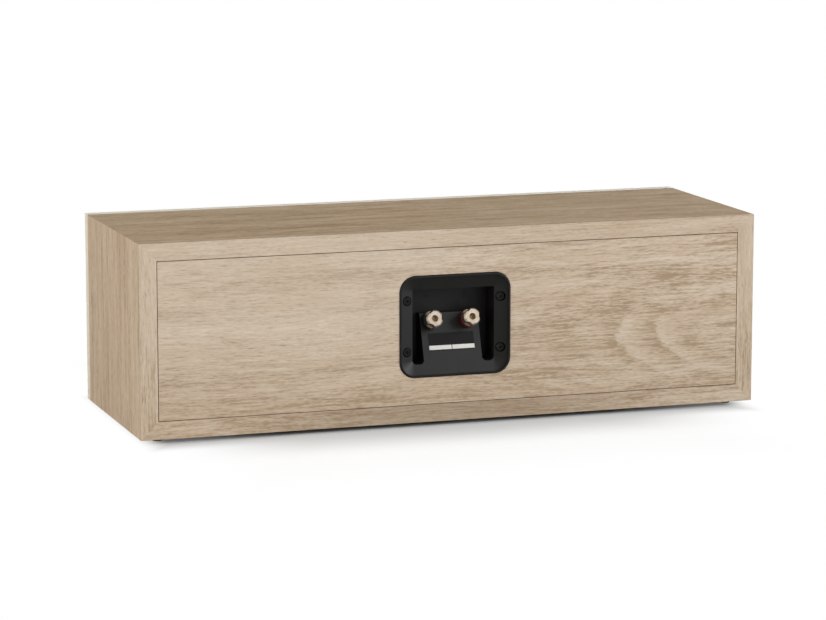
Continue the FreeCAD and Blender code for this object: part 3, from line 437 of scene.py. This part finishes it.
def oak(name, lengthwise, contrast, figured=False):
    """Oak with its grain along X or Z: bands, streaks and fibres add up to a tone, and pores darken it.
    Painted shade makes the rear face browner towards one end and its lower edge, and the bottom board's
    rear edge darker in its middle; painted sheen makes it paler towards the other end and its top. A
    figured board is livelier towards that end and edge, and painted shade darkens it there too."""
    finish = Finish(name, shine=0.4)
    x, y, z = finish.place.split()
    along, across = (x, z) if lengthwise == "X" else (z, x)
    band, streak, pore, fibre = grain_lines(finish, along, across, y)
    light = ((band - 0.5) * SHARE["band"] + (streak - 0.5) + (fibre - 0.5) * SHARE["fibre"]) * contrast
    rear = 1.0 if figured else y.step(*REAR_EDGE)
    end, edge = 1.0 - x.step(*LIVELY_SHADED_END), 1.0 - z.step(*LIVELY_SHADED_EDGE)
    if figured:
        sway = finish.place.noise(*[part * scale for part, scale in zip((x, y, z), PANEL_SWAY)],
                                  detail=5, roughness=0.6) - 0.5
        rings, tongue = growth_rings(finish, x, z, sway, streak)
        light = light * (end * LIVELIER["end"] + edge * LIVELIER["edge"] + LIVELIER["all"])
        # painted shade: the figured panel is darker towards its lower edge and its far end
        light = light - edge * SHADE_PAINTED_DARKER["edge"] - end * SHADE_PAINTED_DARKER["end"]
        light = light * (1.0 - tongue * TONGUE_CALM)
        light = light + rings * (tongue * RINGS_SHOW["tongue"] + end * RINGS_SHOW["end"])
    else:
        light = light * (1.0 - rear * (1.0 - edge) * RAIL_CALM)
    light = light + 0.5
    base = light.step(*DEEP_TO_MID).blend(OAK_DEEP, OAK_MID)
    base = light.step(*MID_TO_PALE).blend(base, OAK_PALE)
    rosy = stretched(finish, along, across, y, ROSY, detail=3).step(*ROSY_SHOWS) * SHARE["rosy"]
    base = rosy.blend(base, OAK_ROSY)
    # painted shade: the rear face goes browner towards one end and its lower edge
    painted_shade = (end * END_PAINTED_SHADE + (1.0 - END_PAINTED_SHADE)) * edge * rear * SHARE["painted_shade"]
    base = painted_shade.blend(base, PORE)
    # painted sheen: the rear face goes whiter towards the other end and its top
    base = ((1.0 - end) * (1.0 - edge) * rear * SHARE["painted_sheen"]).blend(base, PAINTED_SHEEN)
    # painted shade: the bottom board's rear edge is darker in its middle, where less light reaches
    if lengthwise == "X" and not figured:
        low = (1.0 - z.step(*PAINTED_SHADE_LOW_BOARD)) * (1.0 - x.sum("ABSOLUTE", x).step(*PAINTED_SHADE_LOW_MIDDLE))
        base = (low * rear * SHARE["low"]).blend(base, PORE)
    pores = pore.step(*PORE_SHOWS) * SHARE["pores"]
    base = pores.blend(base, PORE)
    finish.wear(Base_Color=base, Roughness=streak * OAK_ROUGHER + OAK_ROUGH)
    return finish.bump(streak * 0.5 - pores, OAK_RELIEF, 0.5)


oak("oak_lengthwise", "X", 1.6).put_on("cabinet_top", "cabinet_bottom")
oak("oak_upright", "Z", 1.4).put_on("cabinet_side_a", "cabinet_side_b")
oak("oak_figured", "X", 1.0, figured=True).put_on("rear_panel")
print("oak on", len(dressed), "boards")

# %% [markdown]
# ## Moulded plastic, rubber and powder coat
# Black parts are never one flat black. A moulding comes out of a tool whose walls were etched, so its
# surface is a fine even grain; powder coat is a coarser orange peel; rubber is dull with a bloom of dust.
# One function makes them all: a fine noise for the relief, a broad one for the gloss, and the colour
# between two tones.

# %% Grained finishes
CLOUDS_PER_METRE = 55
CLOUD_SHARE = 0.6
CLOUD_SHOWS = (0.25, 0.75)
GLOSS_SWING = 0.12


def grained(name, dark, pale, grain_mm, relief_mm, roughness, shine=0.5, metallic=0.0):
    """A surface with an even grain of the given size and relief, and soft clouds in colour and gloss."""
    finish = Finish(name, shine=shine, metallic=metallic)
    place = finish.place.split()
    grain = finish.place.noise(*[part * (1000.0 / grain_mm) for part in place], detail=1)
    cloud = finish.place.noise(*[part * CLOUDS_PER_METRE for part in place], detail=3)
    mottle = (cloud * CLOUD_SHARE + grain * (1.0 - CLOUD_SHARE)).step(*CLOUD_SHOWS)
    finish.wear(Base_Color=mottle.blend(tone(*dark), tone(*pale)),
                Roughness=cloud * GLOSS_SWING + (roughness - GLOSS_SWING / 2))
    return finish.bump(grain, relief_mm / 1000.0, 0.6)


# Each row: the finish, its dark and pale tones, grain and relief in mm, roughness, shine and its wearers.
MOULDED = [
    ("cup_plastic", (19, 19, 19), (25, 25, 24), 0.45, 0.02, 0.42, 0.19, "terminal_cup"),
    ("screw_black", (9, 9, 9), (15, 15, 14), 0.3, 0.01, 0.36, 0.16, "woofer_screws tweeter_screws"),
    ("foot_rubber", (34, 33, 32), (48, 47, 45), 0.5, 0.03, 0.75, 0.3, "feet"),
    ("seal_foam", (30, 30, 30), (52, 52, 50), 0.6, 0.10, 0.95, 0.1, "cup_seal"),
    ("label_film", (17, 17, 18), (22, 22, 23), 0.25, 0.004, 0.45, 0.08, "rating_label"),
    ("label_white", (206, 206, 205), (214, 214, 213), 0.4, 0.004, 0.5, 0.2, "label_fields"),
    ("baffle_black", (26, 26, 26), (36, 35, 34), 0.8, 0.04, 0.7, 0.3, "front_baffle"),
    ("basket_coat", (28, 28, 28), (40, 40, 40), 0.9, 0.05, 0.5, 0.5, "woofer_a_basket woofer_b_basket"),
    ("faceplate_satin", (28, 28, 28), (38, 38, 38), 0.35, 0.015, 0.42, 0.5, "tweeter_faceplate"),
    ("grille_moulding", (30, 30, 30), (42, 42, 41), 0.6, 0.03, 0.55, 0.5, "grille_frame"),
    ("socket_rubber", (26, 26, 26), (40, 40, 39), 0.4, 0.02, 0.7, 0.3, "grille_sockets"),
    ("ferrite", (46, 46, 48), (70, 69, 68), 0.7, 0.05, 0.62, 0.5,
     "woofer_a_magnet woofer_b_magnet tweeter_magnet"),
    ("standoff_nylon", (206, 205, 198), (222, 221, 214), 0.5, 0.01, 0.5, 0.5, "crossover_standoffs"),
    ("resistor_ceramic", (214, 210, 200), (232, 229, 220), 0.6, 0.05, 0.85, 0.2, "crossover_resistor"),
    ("lead_sleeve", (96, 26, 24), (122, 34, 30), 0.6, 0.01, 0.5, 0.5, "input_leads driver_leads"),
    ("capacitor_sleeve", (46, 56, 92), (58, 70, 110), 0.5, 0.01, 0.35, 0.5, "crossover_capacitors"),
    ("ring_red", (104, 14, 13), (124, 18, 17), 0.4, 0.008, 0.28, 0.3, "positive_ring"),
    ("ring_black", (22, 22, 22), (32, 32, 32), 0.4, 0.008, 0.28, 0.5, "negative_ring"),
    ("dome_coating", (22, 22, 22), (40, 39, 38), 0.35, 0.04, 0.55, 0.5, "tweeter_dome"),
    ("surround_rubber", (24, 24, 24), (38, 38, 38), 0.7, 0.02, 0.45, 0.5, ""),
]
moulded = {}
for name, dark, pale, grain_mm, relief_mm, roughness, shine, wearers in MOULDED:
    moulded[name] = grained(name, dark, pale, grain_mm, relief_mm, roughness, shine)
    moulded[name].put_on(*wearers.split())
grained("plated_steel", (168, 168, 164), (196, 195, 188), 0.5, 0.006, 0.30, metallic=1.0).put_on(
    "woofer_a_front_plate", "woofer_b_front_plate", "tweeter_front_plate",
    "woofer_a_yoke", "woofer_b_yoke", "tweeter_yoke")
print("finishes so far cover", len(dressed), "nodes")

# %% Screws of the cup
SCREW_HEAD_R = 0.0029
SCREW_RECESS_R = 0.0013
RECESS_EDGE = 0.9
SCREW_CLOUDS = 300


def corner_screws(name, node):
    """Black screws, one at each corner of the node's box: the distance from the middle of the nearest head
    paints the recess of each one deep black, as painted shade."""
    low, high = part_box(node)
    finish = Finish(name, shine=0.16)
    x, y, z = finish.place.split()
    off_x, off_z = x - (low.x + high.x) / 2, z - (low.z + high.z) / 2
    off_x = off_x.sum("ABSOLUTE", off_x) - ((high.x - low.x) / 2 - SCREW_HEAD_R)
    off_z = off_z.sum("ABSOLUTE", off_z) - ((high.z - low.z) / 2 - SCREW_HEAD_R)
    away = (off_x * off_x + off_z * off_z) ** 0.5
    head = away.step(SCREW_RECESS_R * RECESS_EDGE, SCREW_RECESS_R)
    cloud = finish.place.noise(*[part * SCREW_CLOUDS for part in (x, y, z)])
    # painted shade: the recess in each head is painted black
    return finish.wear(Base_Color=head.blend(BLACK, tone(15, 15, 15)), Roughness=cloud * 0.1 + 0.34)


corner_screws("cup_screw_black", "cup_screws").put_on("cup_screws")
print("recess of a cup screw:", SCREW_RECESS_R * 2000, "mm wide")

# %% [markdown]
# ## Gold plate
# Knobs, posts and washers are brass turned on a lathe and plated in pale gold. A lathe leaves rings so
# fine that they show only as a soft streak of light, so the pattern is a wave across the distance from
# the post's axis. The axis is tilted with the ramp of the cup, which a Mapping node turns upright again.
# The posts' gold is painted brighter than the knobs', as painted light: all that shows of them is the plug
# hole, which light reaches only after some bounces that darken and tint it.

# %% Turned gold
RAMP_TILT = math.radians(18.5)
GOLD_PALE = tone(158, 148, 140)
GOLD_DEEP = tone(141, 127, 108)
BORE_PALE_PAINTED_LIGHT = tone(200, 184, 158)
BORE_DEEP_PAINTED_LIGHT = tone(184, 166, 138)
RING_WAVE = 21000.0
LENGTH_WAVE = 16000.0
SMEARS = 400
SMEAR_SHOWS = (0.3, 0.7)
GOLD_ROUGH = 0.46
GOLD_ROUGHER = 0.12
GOLD_RELIEF = 0.000004


def turned_gold(name, node, deep=GOLD_DEEP, pale=GOLD_PALE):
    """Plated brass with turning rings round the middle of a node."""
    low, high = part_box(node)
    finish = Finish(name, metallic=1.0)
    upright = finish.place.node("ShaderNodeMapping", {"vector_type": "TEXTURE"}, {
        "Vector": finish.place, "Location": (low + high) / 2, "Rotation": (RAMP_TILT, 0.0, 0.0)})
    x, y, z = upright.split()
    away = (x * x + z * z) ** 0.5
    ring = finish.place.sum("SINE", away * RING_WAVE)
    length = finish.place.sum("SINE", y * LENGTH_WAVE)
    smear = finish.place.noise(x * SMEARS, y * SMEARS, z * SMEARS, detail=3)
    finish.wear(Base_Color=smear.step(*SMEAR_SHOWS).blend(deep, pale),
                Roughness=smear * GOLD_ROUGHER + GOLD_ROUGH)
    return finish.bump(ring + length, GOLD_RELIEF, 0.5)


knob_gold = {}
for side in ("positive", "negative"):
    knob_gold[side] = turned_gold(side + "_gold", side + "_knob")
    knob_gold[side].put_on(side + "_knob", side + "_washer")
    # painted light: the posts wear a brighter gold so that their plug holes look lit
    turned_gold(side + "_bore_painted_light_gold", side + "_post", BORE_DEEP_PAINTED_LIGHT, BORE_PALE_PAINTED_LIGHT).put_on(side + "_post")
turned_gold("fitting_gold", "post_nuts").put_on("post_nuts", "solder_tags")

# %% [markdown]
# ## Inside the box
# Behind the cloth and the boards sit pressed paper cones, a woven spider, copper windings, a circuit
# board and a pad of fibre. They show only when the model is opened, yet each has its own texture: fibres
# at all angles, a weave, windings as fine rings, tracks on the board.

# %% Fibre, weave, copper and board
PULP_ALONG = 300
PULP_ACROSS = 1700
PULP_DEEP = 500
COPPER_CLOUDS = 90
TRACK_WAVES = {"across": 260.0, "along": 190.0, "slant": 40.0}
TRACK_EDGE = (0.12, 0.2)


def pressed_fibre(name, dark, pale):
    """Paper pulp: two stretched noises crossing each other, as fibres lie at all angles."""
    finish = Finish(name, roughness=0.85, shine=0.2)
    x, y, z = finish.place.split()
    one = finish.place.noise((x + z) * PULP_ALONG, (x - z) * PULP_ACROSS, y * PULP_DEEP)
    two = finish.place.noise((x - z) * PULP_ALONG, (x + z) * PULP_ACROSS, y * PULP_DEEP)
    pulp = (one + two) * 0.5
    finish.wear(Base_Color=pulp.step(0.35, 0.65).blend(dark, pale))
    return finish.bump(pulp, 0.00012, 0.7)


def woven(name, dark, pale, pitch):
    """A plain weave: the product of two waves, one along each thread direction."""
    finish = Finish(name, roughness=0.8, shine=0.2)
    x, y, z = finish.place.split()
    turn = 2 * math.pi / pitch
    weave = finish.place.sum("SINE", x * turn) * finish.place.sum("SINE", z * turn)
    finish.wear(Base_Color=weave.step(-0.8, 0.8).blend(dark, pale))
    return finish.bump(weave, 0.0001, 0.7)


def wound(name, dark, pale, pitch):
    """Wire wound on a former that lies along Y: a wave along Y with a slow change of tone."""
    finish = Finish(name, roughness=0.3, metallic=1.0)
    x, y, z = finish.place.split()
    turns = finish.place.sum("SINE", y * (2 * math.pi / pitch))
    age = finish.place.noise(x * COPPER_CLOUDS, y * COPPER_CLOUDS, z * COPPER_CLOUDS)
    finish.wear(Base_Color=(turns * 0.3 + age).step(0.1, 0.9).blend(dark, pale))
    return finish.bump(turns, 0.0002, 0.8)


def tracked_board(name):
    """Laminate with broad copper tracks under its lacquer: where the product of two waves is high."""
    finish = Finish(name, roughness=0.35, coat=0.3)
    x, y, z = finish.place.split()
    across = finish.place.sum("SINE", x * TRACK_WAVES["across"])
    along = finish.place.sum("SINE", z * TRACK_WAVES["along"] + x * TRACK_WAVES["slant"])
    track = (across * along).step(*TRACK_EDGE)
    finish.wear(Base_Color=track.blend(tone(52, 92, 62), tone(92, 120, 70)))
    return finish.bump(track, 0.00004, 0.6)


cone_fibre = pressed_fibre("cone_fibre", tone(38, 36, 34), tone(66, 62, 58))
cone_fibre.put_on("woofer_a_cone", "woofer_b_cone", "woofer_a_dust_cap", "woofer_b_dust_cap")
woven("spider_weave", tone(150, 118, 62), tone(188, 154, 92), 0.0009).put_on(
    "woofer_a_spider", "woofer_b_spider")
wound("copper_winding", tone(142, 76, 44), tone(198, 122, 76), 0.0006).put_on(
    "crossover_inductors", "woofer_a_voice_coil", "woofer_b_voice_coil", "tweeter_voice_coil")
tracked_board("board_laminate").put_on("crossover_board")
pressed_fibre("wadding_fibre", tone(196, 196, 190), tone(232, 232, 228)).put_on("damping_wadding")
print("nodes without a finish:", sorted(set(nodes) - dressed))

# %% [markdown]
# ## Surfaces from formulas
# The pieces that the CAD model leaves to us are thin or very fine: cloth, rubber, threads and signs. Each
# is a function of two numbers on a grid, worked out for all points at once with numpy. The grid gives the
# faces for free, since every point is joined to its neighbours, and the ends can be joined to close a
# ring.

# %% From a grid to a mesh
def grid_mesh(name, points, close_u=False, close_v=False, uv=None):
    """A mesh from points[u, v]: four neighbours make a face, and a closed direction joins its two ends."""
    rows, columns = points.shape[:2]
    index = np.arange(rows * columns).reshape(rows, columns)
    if close_u:
        index = np.vstack([index, index[:1]])
    if close_v:
        index = np.hstack([index, index[:, :1]])
    faces = np.stack([index[:-1, :-1], index[1:, :-1], index[1:, 1:], index[:-1, 1:]], -1).reshape(-1, 4)
    mesh = bpy.data.meshes.new(name)
    mesh.from_pydata(points.reshape(-1, 3).tolist(), [], faces.tolist())
    mesh.polygons.foreach_set("use_smooth", np.ones(len(faces), bool))
    if uv is not None:
        layer = mesh.uv_layers.new(name="flat")
        layer.data.foreach_set("uv", uv.reshape(-1, 2)[faces.reshape(-1)].reshape(-1))
    return mesh


def add_piece(mesh, finish, body):
    """Put a mesh into the scene with a finish, riding on a CAD body."""
    piece = bpy.data.objects.new(mesh.name, mesh)
    mesh.materials.append(finish.material)
    bpy.context.collection.objects.link(piece)
    if body:
        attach(piece, body)
    return piece


def thicken(piece, thickness, offset=-1.0):
    """Give a sheet its thickness, by default on the inner side."""
    solid = piece.modifiers.new("thickness", "SOLIDIFY")
    solid.thickness = thickness
    solid.offset = offset


# %% [markdown]
# ## The grille cloth
# The front of the cabinet is one piece of pale woven cloth, stretched over a frame and turned back round
# its edges. As a shape it is a set of nested rectangles: they grow across the front, turn the corner on a
# quarter circle and run back along the sides. Over the three windows of the frame the cloth dips by a
# hair. The grid's cells fold where two sides meet, so they are cut along that fold, which stays crisp.

# %% Shape of the cloth
CLOTH_T = 0.0006
CLOTH_ROUND = 0.0016
CLOTH_DIP = 0.0005
CLOTH_CELLS = 160
TURN_CELLS = 8
SIDE_CELLS = 4
CLOTH_CREASE = math.radians(40)
WINDOWS = ((-0.134, 0.061), (0.0, 0.058), (0.134, 0.061))
WINDOW_HALF_Z = 0.052


def stretched_cloth():
    """Nested rectangles: half sizes grow to the edge, follow a quarter circle, then stay as y runs back."""
    low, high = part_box("grille_cloth")
    middle = (low + high) / 2
    half = np.array([high.x - low.x, high.z - low.z]) / 2 - CLOTH_ROUND
    side = (high.y - low.y) - CLOTH_ROUND
    turn = CLOTH_ROUND * math.pi / 2
    front = np.linspace(0.0, 1.0, CLOTH_CELLS // 2)[1:]
    round_edge = 1 + np.arange(1, TURN_CELLS + 1) / TURN_CELLS
    along_side = 2 + np.arange(1, SIDE_CELLS + 1) / SIDE_CELLS
    steps = np.concatenate([front, round_edge, along_side])
    steps = np.concatenate([-steps[::-1], [0.0], steps])
    a, b = np.meshgrid(steps, steps, indexing="ij")
    ring = np.maximum(np.abs(a), np.abs(b))
    swing = np.clip(ring - 1, 0, 1) * math.pi / 2
    back = np.clip(ring - 2, 0, 1) * side
    away = np.stack([a, b], -1) / np.maximum(ring, 1e-9)[..., None]
    reach = away * (half * np.minimum(ring, 1)[..., None] + CLOTH_ROUND * np.sin(swing)[..., None])
    x = middle.x + reach[..., 0]
    z = middle.z + reach[..., 1]
    y = low.y + CLOTH_ROUND * (1 - np.cos(swing)) + back
    for centre, half_x in WINDOWS:
        bowl = np.clip(1 - ((x - centre) / half_x) ** 2, 0, 1)
        bowl = bowl * np.clip(1 - ((z - middle.z) / WINDOW_HALF_Z) ** 2, 0, 1)
        y = y + CLOTH_DIP * np.where(ring < 1, bowl, 0.0) ** 0.5
    walked = np.clip(ring - 1, 0, 1) * turn + back
    flat = away * (half * np.minimum(ring, 1)[..., None] + walked[..., None])
    return np.stack([x, y, z], -1), flat, 2 * (half + turn + side)


def keep_folds(mesh, angle):
    """Cut folded cells along their shorter diagonal; edges where faces turn past the angle stay sharp."""
    shape = bmesh.new()
    shape.from_mesh(mesh)
    bmesh.ops.triangulate(shape, faces=list(shape.faces), quad_method="SHORT_EDGE")
    shape.to_mesh(mesh)
    shape.free()
    mesh.set_sharp_from_angle(angle=angle)


points, flat, cut = stretched_cloth()
print("cloth cut to", cut.round(4), "m")

# %% Weave, and the cloth itself
CLOTH_PITCH = 0.0011
SLUB = (40, 560)
SLUB_APART = 5.0
SLUB_SHARE = 0.8
WEAVE_SHARE = 0.5
THREAD_MEAN = 0.4
THREAD_SHOWS = (0.1, 0.95)
CLOTH_RELIEF = 0.00018


def cloth_weave():
    """Pale cloth on its own flat coordinates: the product of two waves is the weave, and two stretched
    noises are the slubs, which make a thread a little lighter or darker."""
    finish = Finish("grille_weave", roughness=0.85, shine=0.2)
    u, v = finish.flat.split()[:2]
    turn = 2 * math.pi / CLOTH_PITCH
    warp = finish.flat.sum("SINE", u * turn)
    weft = finish.flat.sum("SINE", v * turn)
    slub = finish.flat.noise(u * SLUB[0], v * SLUB[1], 0.0)
    slub = slub + finish.flat.noise(u * SLUB[1], v * SLUB[0], SLUB_APART) - 1.0
    height = warp * weft * 0.5 + 0.5
    thread = (height * WEAVE_SHARE + slub * SLUB_SHARE + THREAD_MEAN).step(*THREAD_SHOWS)
    finish.wear(Base_Color=thread.blend(tone(230, 230, 227), tone(255, 255, 253)))
    return finish.bump(height, CLOTH_RELIEF, 0.7)


cloth = add_piece(grid_mesh("stretched_cloth", points, uv=flat), cloth_weave(), "grille")
keep_folds(cloth.data, CLOTH_CREASE)
thicken(cloth, CLOTH_T)
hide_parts("grille_cloth")
print("threads of the cloth:", CLOTH_PITCH * 1000, "mm apart")

# %% [markdown]
# ## The rubber surrounds
# A woofer's cone hangs in a half roll of rubber. Its outer edge is glued to the basket and stays; its inner
# edge moves with the cone. The ring is cut into sectors, each a strip of the roll between two angles.

# %% Rubber surrounds
RUBBER_T = 0.0006
CONE_EDGE = 0.0310
ROLL_IN = 0.0330
ROLL_OUT = 0.0395
SECTORS = 12
SECTOR_STEPS = 8
ROLL_STEPS = 40


def roll_height(r, half, rise):
    """How far an arc of that half width and rise stands above its chord at radius r, and 0 outside it."""
    arc = (half ** 2 + rise ** 2) / (2 * rise)
    off = np.abs(r - (ROLL_IN + ROLL_OUT) / 2)
    return np.where(off < half, np.sqrt(np.maximum(arc ** 2 - off ** 2, 0)) - (arc - rise), 0.0)


def surround_sector(node, first, last):
    """A closed strip, out along the roll's front and home along its back, turned between two angles."""
    low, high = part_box(node)
    middle = (low + high) / 2
    rise = high.y - RUBBER_T - low.y
    half = (ROLL_OUT - ROLL_IN) / 2
    r = np.linspace(CONE_EDGE, (high.x - low.x) / 2, ROLL_STEPS)
    front = high.y - RUBBER_T - roll_height(r, half, rise)
    back = high.y - roll_height(r, half - RUBBER_T, rise)
    radius = np.concatenate([r, r[::-1]])[:, None]
    depth = np.concatenate([front, back[::-1]])[:, None]
    angle = np.linspace(first, last, SECTOR_STEPS + 1)[None, :]
    x = middle.x + radius * np.cos(angle)
    z = middle.z + radius * np.sin(angle)
    return np.stack([x, depth + 0 * angle, z], -1), middle


rubber = moulded["surround_rubber"]
for side in ("woofer_a", "woofer_b"):
    node = side + "_surround"
    for k in range(SECTORS):
        first, last = 2 * math.pi * k / SECTORS, 2 * math.pi * (k + 1) / SECTORS
        points, middle = surround_sector(node, first, last)
        sector = add_piece(grid_mesh(f"{node}_{k}", points, close_u=True), rubber, None)
        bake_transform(sector)
        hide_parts(node)

# %% [markdown]
# ## Threads and signs
# Two things are finer than the CAD model wants to be. The posts carry a thread that shows when a knob is
# wound out: a cylinder whose radius is a triangle wave that climbs by one pitch each turn. The mould also
# leaves a raised plus and minus above the posts, each bar a small pillow with a flat top and steep sides.

# %% Threads on the posts
POST_R = 0.00342
THREAD_RISE = 0.00015
THREAD_PITCH = 0.0010
THREAD_LENGTH = 0.0056
THREAD_STEPS = 12
TURN_STEPS = 48


def post_thread(washer, length):
    """A cylinder on the ramp's normal; its radius is a triangle wave of height less angle, in pitches."""
    low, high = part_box(washer)
    foot = (low + high) / 2
    normal = np.array([0.0, math.cos(RAMP_TILT), math.sin(RAMP_TILT)])
    upward = np.array([0.0, -math.sin(RAMP_TILT), math.cos(RAMP_TILT)])
    height = np.linspace(0.0, length, int(length / THREAD_PITCH * THREAD_STEPS))[:, None]
    angle = np.linspace(0.0, 2 * math.pi, TURN_STEPS, endpoint=False)[None, :]
    phase = (height / THREAD_PITCH - angle / (2 * math.pi)) % 1.0
    radius = POST_R + THREAD_RISE * (1 - np.abs(2 * phase - 1))
    across = (radius * np.cos(angle))[..., None] * np.array([1.0, 0.0, 0.0])
    across = across + (radius * np.sin(angle))[..., None] * upward
    return np.array(foot) + across + (height + 0 * angle)[..., None] * normal


for side in ("positive", "negative"):
    points = post_thread(side + "_washer", THREAD_LENGTH)
    add_piece(grid_mesh(side + "_thread", points, close_v=True), knob_gold[side], "cabinet")
print("threads of", THREAD_LENGTH / THREAD_PITCH, "turns")

# %% Signs above the posts
SIGN_LENGTH = 0.0046
SIGN_WIDTH = 0.0012
SIGN_RISE = 0.0003
SIGN_ABOVE = 0.0155
SIGN_WALL = 0.05635
SIGN_STEPS = 24
SIGN_POWER = 8


def sign_bar(x, z, upright):
    """A pillow over a rectangle: its height is the root of one less the eighth power of each coordinate."""
    grid = np.linspace(-1.0, 1.0, SIGN_STEPS)
    u, v = np.meshgrid(grid, grid, indexing="ij")
    long_way, short_way = u * SIGN_LENGTH / 2, v * SIGN_WIDTH / 2
    across, up = (short_way, long_way) if upright else (long_way, short_way)
    rise = SIGN_RISE * np.sqrt((1 - u ** SIGN_POWER) * (1 - v ** SIGN_POWER))
    return np.stack([x - across, SIGN_WALL + rise, z + up], -1)


for side, bars in (("positive", (False, True)), ("negative", (False,))):
    low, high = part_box(side + "_ring")
    for upright in bars:
        points = sign_bar((low.x + high.x) / 2, (low.z + high.z) / 2 + SIGN_ABOVE, upright)
        bar = grid_mesh(f"{side}_sign_{'upright' if upright else 'level'}", points)
        add_piece(bar, moulded["cup_plastic"], "cabinet")
print("signs", SIGN_LENGTH * 1000, "mm long")
